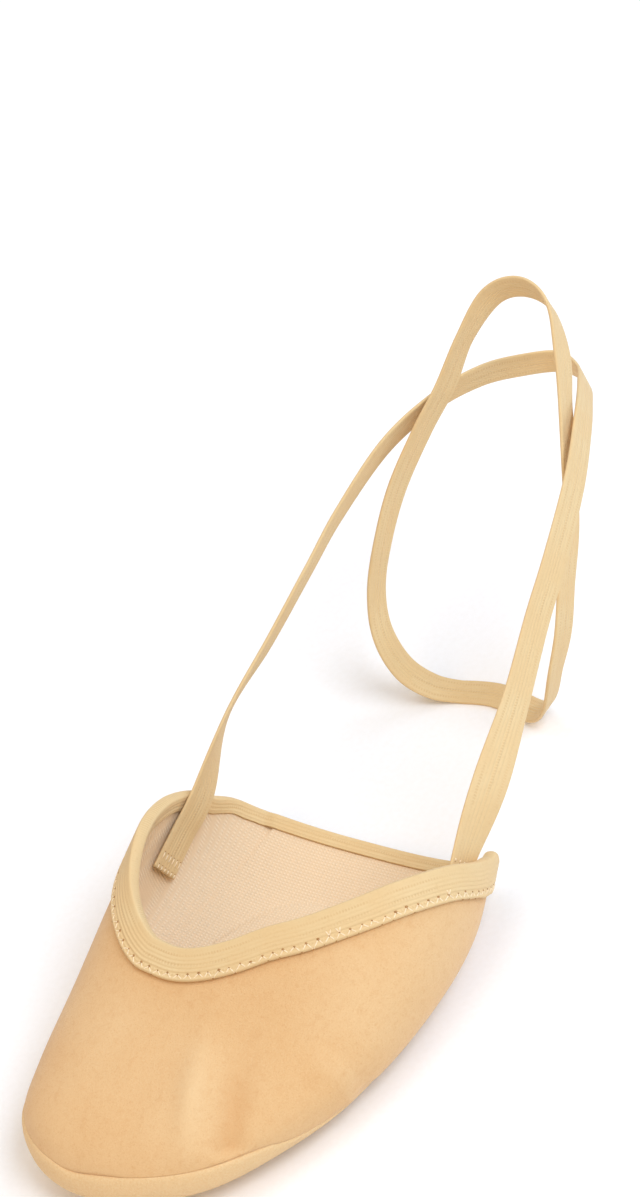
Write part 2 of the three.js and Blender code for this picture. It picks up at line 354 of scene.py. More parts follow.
@dataclass(frozen=True)
class WovenElastic(Finish):
    """Nylon-covered rubber, woven flat. A band's own flat map gives the place: u along it and v across, in
    millimetres."""

    # The eye sees a pale smooth band with fine ribs along it and rows of tiny ticks across.
    name: str = "woven_nylon_elastic"
    roughness: float = 0.75
    specular: float = 0.35
    sheen: float = 0.1
    relief_mm: float = 0.07
    color: str = "#e2c694"
    shade: str = "#cba36e"
    warm: str = "#deb982"
    tones: tuple[Tone, ...] = (
        Tone("weft", 0.0, 1.0, 0.0, 0.45, "shade"),
        Tone("cloud", 0.4, 0.7, 0.4, 0.0, "warm"),
        Tone("fluff", 0.55, 0.75, 0.0, 0.2, "shade"),
    )
    rib_mm: float = 0.95
    # The real weft, 0.25 mm apart, is too fine to show, so its ticks are drawn three times as coarse.
    tick_mm: float = 0.72
    tick_row_mm: float = 2.4
    tick_depth: float = 0.6
    cloud_mm: float = 9.0
    fluff_mm: float = 0.6

    def patterns(self, tree: bpy.types.NodeTree, place: Output) -> dict[str, Output]:
        """Weaves the ribs and the rows of ticks, which fade in and out along the band.

        Args:
            tree: The material's node tree.
            place: The output that carries the place on the shoe.

        Returns:
            The patterns by name, with the relief.
        """
        flat = add_node(tree, "UVMap", {}, "UV", uv_map=FLAT_MAP)
        waves = []
        bands = ((self.rib_mm, "Y", 0.0), (self.tick_mm, "X", 0.0), (self.tick_row_mm, "Y", np.pi))
        for size, direction, phase in bands:
            look = {"Vector": flat, "Scale": WAVE_LENGTH / size, "Phase Offset": phase}
            waves.append(add_node(tree, "TexWave", look, "Fac", bands_direction=direction))
        rib, weft, row = waves
        cloud = add_node(tree, "TexNoise", {"Vector": place, "Scale": repeats(self.cloud_mm), "Detail": 3.0})
        for fade in ({0: row, 1: 0.75, 2: 0.95}, {0: cloud, 1: 0.42, 2: 0.58, 3: 0.15, 4: 1.0}):
            share = add_node(tree, "MapRange", fade)
            weft = add_node(tree, "Math", {0: weft, 1: share}, operation="MULTIPLY")
        relief = {0: weft, 1: -self.tick_depth, 2: rib}
        return {
            "weft": weft,
            "cloud": cloud,
            "fluff": add_node(tree, "TexNoise", {"Vector": place, "Scale": repeats(self.fluff_mm)}),
            "relief": add_node(tree, "Math", relief, operation="MULTIPLY_ADD"),
        }


@dataclass(frozen=True)
class SpunThread(Finish):
    """Polyester sewing thread, spun and twisted."""

    # The eye sees a fine matt cord, as pale as the elastic and a little uneven.
    name: str = "spun_polyester_thread"
    roughness: float = 0.7
    specular: float = 0.3
    relief_mm: float = 0.04
    color: str = "#fae6c4"
    shade: str = "#ddb27c"
    tones: tuple[Tone, ...] = (Tone("twist", 0.4, 0.8, 0.0, 0.6, "shade"),)
    twist_mm: float = 0.35

    def patterns(self, tree: bpy.types.NodeTree, place: Output) -> dict[str, Output]:
        """Draws the twist as fine noise."""
        twist = add_node(tree, "TexNoise", {"Vector": place, "Scale": repeats(self.twist_mm)})
        return {"twist": twist, "relief": twist}


@dataclass(frozen=True)
class NeedleHoleShade(SpunThread):
    """A dark dot of painted shade at a needle hole, where the thread is drawn down into the cloth."""

    # The eye sees a brown dot in the shade between the pale threads; the dot is that shade, painted.
    name: str = "painted_needle_hole_shade"
    color: str = "#b98a55"
    shade: str = "#87592e"


@dataclass(frozen=True)
class PaperSweep(Finish):
    """White background paper, uncoated."""

    # The eye sees an even matt white.
    name: str = "white_background_paper"
    roughness: float = 0.95
    specular: float = 0.1
    relief_mm: float = 0.02
    color: str = "#ffffff"
    shade: str = "#f9f8f6"
    tones: tuple[Tone, ...] = (Tone("grain", 0.0, 1.0, 0.0, 1.0, "shade"),)
    grain_mm: float = 1.5

    def patterns(self, tree: bpy.types.NodeTree, place: Output) -> dict[str, Output]:
        """Draws the paper's faint grain."""
        grain = add_node(tree, "TexNoise", {"Vector": place, "Scale": repeats(self.grain_mm)})
        return {"grain": grain, "relief": grain}


# Curves and tables


def smooth_at(keys: Array, values: Array, at: Array) -> Array:
    """Follows a table smoothly: cubic pieces, each row's slope being that between its neighbours.

    Args:
        keys: The rising keys of the rows.
        values: The rows' values, one row for each key.
        at: The keys to look up.

    Returns:
        The values there, with the columns of the table last.
    """
    keys, values, at = np.asarray(keys, float), np.asarray(values, float), np.asarray(at, float)
    before = np.maximum(np.arange(len(keys)) - 1, 0)
    after = np.minimum(np.arange(len(keys)) + 1, len(keys) - 1)
    spans = (keys[after] - keys[before]).reshape(-1, *[1] * (values.ndim - 1))
    slopes = (values[after] - values[before]) / spans
    upper = np.clip(np.searchsorted(keys, at), 1, len(keys) - 1)
    span = keys[upper] - keys[upper - 1]
    t = (at - keys[upper - 1]) / span
    if values.ndim > 1:
        span, t = span[..., None], t[..., None]
    start, end = values[upper - 1], values[upper]
    bend = t * t * (3 - 2 * t)
    leave, arrive = slopes[upper - 1] * span, slopes[upper] * span
    return start + (end - start) * bend + leave * t * (1 - t) ** 2 - arrive * t * t * (1 - t)


def lengths_along(line: Array) -> Array:
    """Gives the length from a line's start to each of its points."""
    return np.concatenate([[0], np.cumsum(np.linalg.norm(np.diff(line, axis=0), axis=1))])


def look_up(keys: Array, values: Array, at: Array) -> Array:
    """Looks up every column of a table, straight between its rows."""
    return np.stack([np.interp(at, keys, column) for column in values.T], axis=-1)


def evenly(line: Array, count: int) -> Array:
    """Places a number of points at even distances along a line, from its start to its end."""
    lengths = lengths_along(line)
    return look_up(lengths, line, np.linspace(0, lengths[-1], count))


def soft_step(value: Array, low: float, high: float) -> Array:
    """Goes smoothly from 0 at low to 1 at high."""
    t = np.clip((value - low) / (high - low), 0, 1)
    return t * t * (3 - 2 * t)


def unit(vectors: Array) -> Array:
    """Scales vectors to a length of one."""
    return vectors / np.linalg.norm(vectors, axis=-1, keepdims=True)


class Section(NamedTuple):
    """One section of the last: its place back from the toe tip, then its outermost and innermost places
    across, its lowest, highest and widest heights, and its crest's place across."""

    back: float
    outer: float
    inner: float
    base: float
    top: float
    widest: float
    crest: float


@dataclass(frozen=True)
class Last:
    """The form that the shoe is made on, and a flat chart of its skin.

    The chart's centre is the toe tip. Its first coordinate runs up to the crest and its second out to the
    outer side. The distance from the centre is the square root of how far back a place lies, as a share of
    the length.
    """

    toe_x: float = 80.0
    length: float = 145.0
    # The superellipse's powers above and below its widest line, reached this far from the chart's centre.
    square_above: float = 2.15
    square_below: float = 2.9
    square_from: float = 0.35
    # A line moves sideways in strides of at most this length.
    stride: float = 0.8
    # On a closed line, each place's stride is evened over this many places either way.
    evening: int = 5
    sections: tuple[Section, ...] = (
        Section(0, -13, -13, 8.5, 8.5, 8.5, -13),
        Section(4, 5, -27.5, 5.5, 16.7, 9.5, -14),
        Section(12, 17.7, -35.7, 3.5, 21.5, 10.5, -15),
        Section(25, 27.8, -39.4, 1.7, 24.7, 11.5, -16),
        Section(45, 37.8, -42.6, 0.2, 28.9, 12.5, -17),
        Section(70, 43.7, -44.2, -0.2, 40.7, 14.5, -16),
        Section(95, 43.9, -43, 0, 53.5, 17.5, -14),
        Section(120, 37.2, -39.4, 3.5, 58.5, 22.5, -11),
        Section(145, 31.5, -35.8, 8.5, 66.5, 26.5, -8),
    )

    def chart(self, back: Array, degrees: Array) -> Array:
        """Gives the chart places that lie back from the toe tip, at angles around the section.

        Args:
            back: How far back, in millimetres.
            degrees: The angles, 0 at the crest and 90 at the outer side.

        Returns:
            The places.
        """
        radius = np.sqrt(np.asarray(back, float) / self.length)
        angle = np.radians(degrees)
        return np.stack([radius * np.cos(angle), radius * np.sin(angle)], axis=-1)

    def back(self, places: Array) -> Array:
        """Gives how far chart places lie back from the toe tip."""
        return self.length * (places**2).sum(axis=-1)

    def skin(self, places: Array) -> Array:
        """Works out the last's skin: a superellipse section at each place back.

        Args:
            places: Chart places.

        Returns:
            The points of the skin there, in millimetres.
        """
        radius = np.linalg.norm(places, axis=-1)
        inverse = 1 / np.maximum(radius, TINY)
        cos, sin = places[..., 0] * inverse, places[..., 1] * inverse
        rows = np.array(self.sections)
        reach = np.sqrt(rows[:, 0] / self.length)
        outer, inner, base, top, widest, crest = np.moveaxis(smooth_at(reach, rows[:, 1:], radius), -1, 0)
        share = soft_step(radius, 0, self.square_from)
        squareness = np.where(cos >= 0, self.square_above, self.square_below)
        power = 2 / (2 + (squareness - 2) * share)
        side = np.where(sin >= 0, outer, inner)
        middle = np.where(cos >= 0, crest, (outer + inner) / 2)
        end = np.where(cos >= 0, top, base)
        x = self.toe_x - self.length * radius**2
        y = middle + (side - middle) * np.abs(sin) ** power
        z = widest + (end - widest) * np.abs(cos) ** power
        return np.stack([x, y, z], axis=-1)

    def slopes(self, places: Array) -> list[Array]:
        """Works out how the skin runs along the chart's two directions.

        Args:
            places: Chart places.

        Returns:
            The skin's slope up to the crest and its slope out to the outer side.
        """
        step = 0.002
        moves = np.eye(2) * step
        return [(self.skin(places + move) - self.skin(places - move)) / (2 * step) for move in moves]

    def normals(self, places: Array) -> Array:
        """Gives the directions that look straight out of the skin."""
        up, side = self.slopes(places)
        return unit(np.cross(side, up))

    def lifted(self, places: Array, lift: Array | float, floor: float | None = None) -> Array:
        """Moves the skin out.

        Args:
            places: Chart places.
            lift: How far to move each point out, in millimetres.
            floor: The least height that a point may have.

        Returns:
            The points.
        """
        points = self.skin(places) + self.normals(places) * np.asarray(lift)[..., None]
        if floor is not None:
            points[..., 2] = np.maximum(points[..., 2], floor)
        return points

    def sidestep(self, line: Array, distance: float, closed: bool) -> Array:
        """Moves a line of chart places sideways on the skin, towards the toe cap, in short strides.

        Args:
            line: Chart places in order.
            distance: How far the line moves, in millimetres.
            closed: Whether the line's end meets its start.

        Returns:
            The moved places.
        """
        strides = int(np.ceil(abs(distance) / self.stride))
        for _ in range(strides):
            if closed:
                before, after = np.roll(line, 1, axis=0), np.roll(line, -1, axis=0)
            else:
                before = np.concatenate([line[:1], line[:-1]])
                after = np.concatenate([line[1:], line[-1:]])
            along = self.skin(after) - self.skin(before)
            up, side = self.slopes(line)
            move = unit(np.cross(along, unit(np.cross(side, up)))) * distance / strides
            mixed, up_size, side_size = (up * side).sum(-1), (up**2).sum(-1), (side**2).sum(-1)
            on_up, on_side = (up * move).sum(-1), (side * move).sum(-1)
            share = 1 / (up_size * side_size - mixed**2)
            shift = [side_size * on_up - mixed * on_side, up_size * on_side - mixed * on_up]
            shift = np.stack(shift, axis=-1) * share[:, None]
            if closed:
                # The section's curve turns sharply at its widest line, where a place can lag by itself.
                turns = range(-self.evening, self.evening + 1)
                for evened in (np.median, np.mean):
                    shift = evened([np.roll(shift, turn, axis=0) for turn in turns], axis=0)
            line = line + shift
        return line


class ChartRow(NamedTuple):
    """A place on the last's skin: its angle around the section, 0 at the crest, 90 at the outer side and 180
    under the sole, and how far it lies back from the toe tip."""

    degrees: float
    back: float


class SeamRoll(NamedTuple):
    """How deep the seam is drawn in, in mm, at a share of the way from its outer end to its inner end."""

    share: float
    depth: float


@dataclass(frozen=True)
class Pattern:
    """The cutting lines on the last: the opening's edge, and the seam between upper and sole."""

    last: Last = field(default_factory=Last)
    # The binding lies this far off the last.
    gap: float = 0.3
    # The seam meets the opening's edge at this angle, on both sides.
    seam_end: float = 142.0
    # The edge is first worked out at this many angles for each place on it.
    fine_degrees: int = 12
    opening_rows: tuple[ChartRow, ...] = (
        ChartRow(-150, 116.5),
        ChartRow(-124, 115),
        ChartRow(-104, 112.5),
        ChartRow(-87, 106.5),
        ChartRow(-72, 98),
        ChartRow(-58, 88),
        ChartRow(-46, 79),
        ChartRow(-35, 71),
        ChartRow(-25, 65),
        ChartRow(-14, 60),
        ChartRow(-4, 56.5),
        ChartRow(5, 55),
        ChartRow(11, 56.3),
        ChartRow(18, 60),
        ChartRow(25, 65),
        ChartRow(33, 70),
        ChartRow(45, 79),
        ChartRow(55, 87),
        ChartRow(70, 98),
        ChartRow(84, 106),
        ChartRow(95, 113),
        ChartRow(106, 115.5),
        ChartRow(124, 116.5),
        ChartRow(150, 117),
        ChartRow(180, 117),
    )
    seam_rows: tuple[ChartRow, ...] = (
        ChartRow(0, 1.6),
        ChartRow(35, 2.8),
        ChartRow(62, 7),
        ChartRow(76, 14),
        ChartRow(86, 23),
        ChartRow(98, 32),
        ChartRow(108.5, 42),
        ChartRow(121, 60),
        ChartRow(134, 85),
    )
    seam_rolls: tuple[SeamRoll, ...] = (
        SeamRoll(0.0, 0.12),
        SeamRoll(0.22, 0.08),
        SeamRoll(0.3, 0.12),
        SeamRoll(0.325, 0.4),
        SeamRoll(0.355, 0.4),
        SeamRoll(0.38, 0.12),
        SeamRoll(0.44, 0.12),
        SeamRoll(0.46, 0.6),
        SeamRoll(0.495, 0.55),
        SeamRoll(0.52, 0.14),
        SeamRoll(0.6, 0.1),
        SeamRoll(1.0, 0.12),
    )

    def opening(self, degrees: Array) -> Array:
        """Gives the opening's edge.

        Args:
            degrees: Angles around the section.

        Returns:
            The edge's chart places there.
        """
        rows = np.array(self.opening_rows)
        keys = np.concatenate([rows[:, 0] + turn for turn in (-360, 0, 360)])
        return self.last.chart(smooth_at(keys, np.tile(rows[:, 1], 3), degrees), degrees)

    def even_degrees(self, count: int) -> Array:
        """Gives the angles of places that lie evenly along the opening's edge.

        Args:
            count: How many places go once around it.

        Returns:
            Their angles around the section.
        """
        degrees = np.linspace(-180, 180, self.fine_degrees * count + 1)
        lengths = lengths_along(self.last.skin(self.opening(degrees)))
        return np.interp(np.linspace(0, lengths[-1], count, endpoint=False), lengths, degrees)

    def seam(self, count: int) -> Array:
        """Gives the seam, evenly from its outer end around the toe to its inner end.

        Args:
            count: How many places to return.

        Returns:
            The seam's chart places.
        """
        rows = np.array(self.seam_rows)
        start = self.opening(self.seam_end)
        outer_side = np.vstack([start, self.last.chart(rows[:, 1], rows[:, 0])[::-1]])
        line = np.vstack([outer_side, outer_side[-2::-1] * [1, -1]])
        at = np.linspace(0, len(line) - 1, FINE * len(line))
        return evenly(smooth_at(np.arange(len(line)), line, at), count)

    def seam_depths(self, count: int) -> Array:
        """Gives how deep the seam is drawn in, evenly from its outer end to its inner end."""
        rows = np.array(self.seam_rolls)
        return smooth_at(rows[:, 0], rows[:, 1], np.linspace(0, 1, count))


# Meshes


def crowded(count: int, crowding: float) -> Array:
    """Gives where rings lie, as shares of the way from a hub to its rim, closer together near the rim."""
    return (1 - (1 - np.linspace(0, 1, count + 1)[1:]) ** crowding)[:, None, None]


def faces_of(*corners: Array | int) -> Array:
    """Makes faces, one a row, from the point indices of each of their corners."""
    return np.stack(np.broadcast_arrays(*corners), -1).reshape(-1, len(corners))


def make_piece(
    name: str,
    points: Array,
    faces: list[tuple[Array, int]],
    materials: list[bpy.types.Material],
    flat_map: Array | None = None,
) -> bpy.types.Object:
    """Makes a smooth-shaded object from points in millimetres.

    Args:
        name: The object's name.
        points: The points, one a row.
        faces: Groups of faces, each with the index of its material.
        materials: The object's materials.
        flat_map: For a band, the place along and across it of each face's corners.

    Returns:
        The object, linked to the scene.
    """
    polygons = [corners for group, _ in faces for corners in group.tolist()]
    slots = np.concatenate([np.full(len(group), slot) for group, slot in faces])
    mesh = bpy.data.meshes.new(name)
    mesh.from_pydata((points * MM).tolist(), [], polygons)
    if flat_map is not None:
        mesh.uv_layers.new(name=FLAT_MAP).data.foreach_set("uv", flat_map.ravel())
    for material in materials:
        mesh.materials.append(material)
    mesh.polygons.foreach_set("material_index", slots.astype(np.int32))
    mesh.polygons.foreach_set("use_smooth", np.ones(len(polygons), dtype=bool))
    mesh.update()
    piece = bpy.data.objects.new(name, mesh)
    bpy.context.scene.collection.objects.link(piece)
    return piece


def dress(piece: bpy.types.Object, slot: str, *nodes: str) -> bpy.types.Object:
    """Puts a piece on the shoe's body.

    Args:
        piece: The piece.
        slot: The record's material slot that its finish belongs to; it is not used.
        *nodes: The frame's nodes that it stands for.

    Returns:
        The piece.
    """
    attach(piece, BODY)
    if nodes:
        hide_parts(*nodes)
    log.info("%s: %d faces", piece.name, len(piece.data.polygons))
    return piece


@dataclass
class Wall:
    """A thin wall between two matching grids of points, outside and inside, in millimetres.

    A ring's last column meets its first, and its hubs close the first rows to discs.
    """

    name: str
    outside: Array
    inside: Array
    materials: dict[Face, bpy.types.Material]
    hubs: tuple[Array, ...] = ()

    def build(self) -> bpy.types.Object:
        """Makes the closed mesh.

        Returns:
            The object, with one material for each of the wall's faces.
        """
        rows, columns = self.outside.shape[:2]
        layer = rows * columns
        grids = [self.outside.reshape(-1, 3), self.inside.reshape(-1, 3), np.reshape(self.hubs, (-1, 3))]
        column = np.arange(columns if self.hubs else columns - 1)
        beside = (column + 1) % columns
        row = np.arange(rows - 1)[:, None] * columns
        out = faces_of(row + column, row + beside, row + columns + beside, row + columns + column)
        rim = (rows - 1) * columns
        far = faces_of(rim + column, rim + beside, layer + rim + beside, layer + rim + column)
        faces = [(out, Face.OUTSIDE), (out[:, ::-1] + layer, Face.INSIDE), (far, Face.RIM)]
        if self.hubs:
            faces.append((faces_of(2 * layer, beside, column), Face.OUTSIDE))
            faces.append((faces_of(2 * layer + 1, layer + column, layer + beside), Face.INSIDE))
        else:
            start = np.arange(rows - 1) * columns
            end = start + columns - 1
            faces.append((faces_of(layer + column, layer + beside, beside, column), Face.RIM))
            faces.append((faces_of(end + columns, end, layer + end, layer + end + columns), Face.RIM))
            faces.append((faces_of(start, start + columns, layer + start + columns, layer + start), Face.RIM))
        groups = [(group, face.value) for group, face in faces]
        materials = [self.materials[face] for face in Face]
        return make_piece(self.name, np.vstack(grids), groups, materials)


@dataclass
class Band:
    """A band made by carrying a closed cross-section along a line, in millimetres.

    The points have a row for each point of the section and a column for each place along the band.
    """

    name: str
    points: Array
    along: Array
    across: Array
    closed: bool
    material: bpy.types.Material

    def build(self) -> bpy.types.Object:
        """Makes the mesh and its flat map, which runs on over the place where a closed band meets itself.

        Returns:
            The object.
        """
        rows, columns = self.points.shape[:2]
        column = np.arange(columns if self.closed else columns - 1)
        row = np.arange(rows)[:, None]
        beside, below = (column + 1) % columns, (row + 1) % rows
        corners = [(row, column), (row, beside), (below, beside), (below, column)]
        quads = faces_of(*(r * columns + c for r, c in corners))
        last_step = np.linalg.norm(self.points[:, 0] - self.points[:, -1], axis=-1).mean()
        reach = np.append(self.along, self.along[-1] + last_step)
        corners = [(row, column), (row, column + 1), (below, column + 1), (below, column)]
        flat = [np.stack(np.broadcast_arrays(reach[c], self.across[r]), -1) for r, c in corners]
        flat = np.stack(flat, 2).reshape(-1, 2)
        faces = [(quads, 0)]
        if not self.closed:
            start = np.arange(rows) * columns
            faces += [(start[None], 0), (start[None, ::-1] + columns - 1, 0)]
            flat = np.vstack([flat, np.zeros((2 * rows, 2))])
        return make_piece(self.name, self.points.reshape(-1, 3), faces, [self.material], flat)


# The shoe's pieces


class Form(NamedTuple):
    """A soft ridge, or a trough where its height is below 0: its middle back from the toe tip and across, its
    reach along and across, how far it turns from the shoe's length, and its height, in mm and degrees."""

    back: float
    side: float
    along: float
    across: float
    turn: float
    height: float


@dataclass
class Upper:
    """The toe cap: a thin brushed microfibre wall with a knitted lining, drawn over the last."""

    pattern: Pattern
    outside: BrushedMicrofibre
    lining: KnittedLining
    wall: float = 1.2
    seam_gap: float = 0.04
    around: int = 472
    rows: int = 80
    # At each end, this share of the seam's places is left to the wall's side edge.
    end_share: float = 0.026
    # This share of the rows' spacing follows the power, which crowds them towards the seam.
    crowding: float = 0.35
    crowding_power: float = 2.2
    roll_reach: float = 0.55
    # The forms come up between these distances from the seam, and from the opening's edge.
    seam_fade: tuple[float, float] = (0.0, 5.0)
    edge_fade: tuple[float, float] = (3.0, 12.0)
    forms: tuple[Form, ...] = (
        Form(25, 9.8, 13, 3.6, -18, 1.4),
        Form(27, 19.5, 7.5, 4.2, -24, -1.6),
        Form(18.5, 21.5, 4.5, 3.2, -38, -1.1),
        Form(40, 16, 14, 6, -12, -0.3),
        Form(22.5, 26.5, 6.5, 2.6, -42, 0.6),
        Form(49.5, 37.5, 3.0, 4.5, 0, -0.5),
        Form(45, 35, 2.5, 5.0, 0, 0.45),
        Form(6.5, -22, 6.5, 9, 20, 0.4),
        Form(22, -20, 12, 11, 0, 0.3),
        Form(20, -2, 13, 4.5, -6, -0.3),
        Form(60, 34, 16, 7, 0, 0.35),
    )

    def build(self) -> bpy.types.Object:
        """Builds the wall from the seam to the opening.

        Returns:
            The toe cap.
        """
        last = self.pattern.last
        seam = last.sidestep(self.pattern.seam(self.around), self.seam_gap / 2, False)
        skipped = round(self.end_share * self.around)
        lower = seam[skipped:-skipped]
        degrees = np.linspace(self.pattern.seam_end, -self.pattern.seam_end, len(lower))
        edge = self.pattern.opening(degrees)
        edge[0], edge[-1] = seam[0], seam[-1]
        t = np.linspace(0, 1, self.rows)[:, None, None]
        share = self.crowding * t**self.crowding_power + (1 - self.crowding) * t
        places = lower[None] * (1 - share) + edge[None] * share
        forms, roll = self.relief(last.skin(places))
        outside = last.lifted(places, forms - roll)
        inside = last.lifted(places, forms - self.wall)
        cloth = self.outside.material()
        materials = {Face.OUTSIDE: cloth, Face.INSIDE: self.lining.material(), Face.RIM: cloth}
        piece = Wall("upper_shell", outside, inside, materials).build()
        # The forms' height goes onto the mesh, for the painted light and shade on the ridges and troughs.
        form_shading = piece.data.attributes.new(self.outside.form_shading, "FLOAT", "POINT")
        form_shading.data.foreach_set("value", np.tile(forms.ravel(), 2).astype(np.float32))
        return dress(piece, "microfibre", "upper")

    def relief(self, points: Array) -> tuple[Array, Array]:
        """Works out the soft forms of the worn toe cap and the roll of the edge into the seam.

        Args:
            points: The wall's points on the last.

        Returns:
            How far the forms stand off the last, and how far the outer face is drawn in at the seam.
        """
        steps = np.linalg.norm(np.diff(points, axis=0), axis=-1)
        from_seam = np.concatenate([np.zeros((1, steps.shape[1])), np.cumsum(steps, axis=0)])
        to_edge = from_seam[-1] - from_seam
        lift = np.zeros(points.shape[:-1])
        for form in self.forms:
            turn = np.radians(form.turn)
            x = self.pattern.last.toe_x - form.back - points[..., 0]
            y = points[..., 1] - form.side
            along = x * np.cos(turn) + y * np.sin(turn)
            across = y * np.cos(turn) - x * np.sin(turn)
            lift += form.height * np.exp(-((along / form.along) ** 2) - (across / form.across) ** 2)
        lift *= soft_step(from_seam, *self.seam_fade) * soft_step(to_edge, *self.edge_fade)
        return lift, self.pattern.seam_depths(points.shape[1]) * np.exp(-from_seam / self.roll_reach)


@dataclass
class Sole:
    """The suede sole, wrapped up around the toe end, its edge rolled at the seam and skived at the rear."""

    pattern: Pattern
    finish: SplitSuede
    lining: KnittedLining
    thickness: float = 2.0
    # The outer face stands this far off the last, and comes back to it between the skive's places back.
    step: float = 0.4
    seam_gap: float = 0.04
    skive: tuple[float, float] = (96.0, 110.0)
    # Where the rings' middle lies on the chart.
    hub: float = -0.6
    around: int = 420
    rear: int = 70
    rings: int = 72
    crowding: float = 1.6
    rear_roll: float = 0.3
    roll_reach: float = 0.6

    def build(self) -> bpy.types.Object:
        """Builds the sole as rings around a hub under the ball.

        Returns:
            The sole.
        """
        last = self.pattern.last
        seam = last.sidestep(self.pattern.seam(self.around), -self.seam_gap / 2, False)
        end = self.pattern.seam_end
        rear = self.pattern.opening(np.linspace(-end, end - 360, self.rear + 2))[1:-1]
        rim = np.vstack([seam, rear])
        hub = np.array([self.hub, 0.0])
        share = crowded(self.rings, self.crowding)
        places = hub + (rim - hub) * share
        steps = np.linalg.norm(np.diff(last.skin(places), axis=0), axis=-1)
        to_rim = np.cumsum(np.vstack([np.zeros((1, steps.shape[1])), steps[::-1]]), axis=0)[::-1]
        lift = self.step * (1 - soft_step(last.back(places), *self.skive))
        roll = np.append(self.step + self.pattern.seam_depths(self.around), [self.rear_roll] * self.rear)
        inner_lift = self.step - self.thickness
        outside = last.lifted(places, lift - roll * np.exp(-to_rim / self.roll_reach), 0.0)
        inside = last.lifted(places, lift - self.thickness, self.thickness)
        hubs = (last.lifted(hub, self.step, 0.0), last.lifted(hub, inner_lift, self.thickness))
        suede = self.finish.material()
        materials = {Face.OUTSIDE: suede, Face.INSIDE: self.lining.material(), Face.RIM: suede}
        return dress(Wall("suede_sole", outside, inside, materials, hubs).build(), "suede", "sole")


@dataclass
class Insole:
    """The thin lined pad on the sole, with a soft rounded edge."""

    pattern: Pattern
    finish: KnittedLining
    # The pad's middle and its half sizes, on the chart.
    hub: float = -0.54
    along: float = 0.28
    across: float = 0.38
    # The pad lies this far above the sole's inner face.
    clear: float = 0.5
    sole_thickness: float = 2.0
    sole_step: float = 0.4
    thickness: float = 0.8
    around: int = 160
    rings: int = 26
    crowding: float = 1.8
    # The top rounds down by this much, from this share of the way out to the rim.
    edge_drop: float = 0.45
    edge_from: float = 0.96

    def build(self) -> bpy.types.Object:
        """Builds the pad as rings around its middle.

        Returns:
            The pad.
        """
        last = self.pattern.last
        turn = np.linspace(0, 2 * np.pi, self.around, endpoint=False)
        hub = np.array([self.hub, 0.0])
        rim = np.stack([self.along * np.cos(turn), self.across * np.sin(turn)], -1)
        share = crowded(self.rings, self.crowding)
        places = hub + rim * share
        below = self.sole_thickness + self.clear
        heights = (below, below + self.thickness)
        under, top = [last.lifted(places, self.sole_step - height, height) for height in heights]
        top[..., 2] -= self.edge_drop * soft_step(share[..., 0], self.edge_from, 1)
        hubs = tuple(last.lifted(hub, self.sole_step - height, height) for height in heights)
        materials = dict.fromkeys(Face, self.finish.material())
        return dress(Wall("insole_pad", under, top, materials, hubs).build(), "lining", "insole")


class FoldPoint(NamedTuple):
    """A point of the binding's cross-section: its distance from the opening's edge towards the toe cap, its
    lift off the last, and the share of the wall that lies between it and the outside."""

    inward: float
    lift: float
    wall_share: float


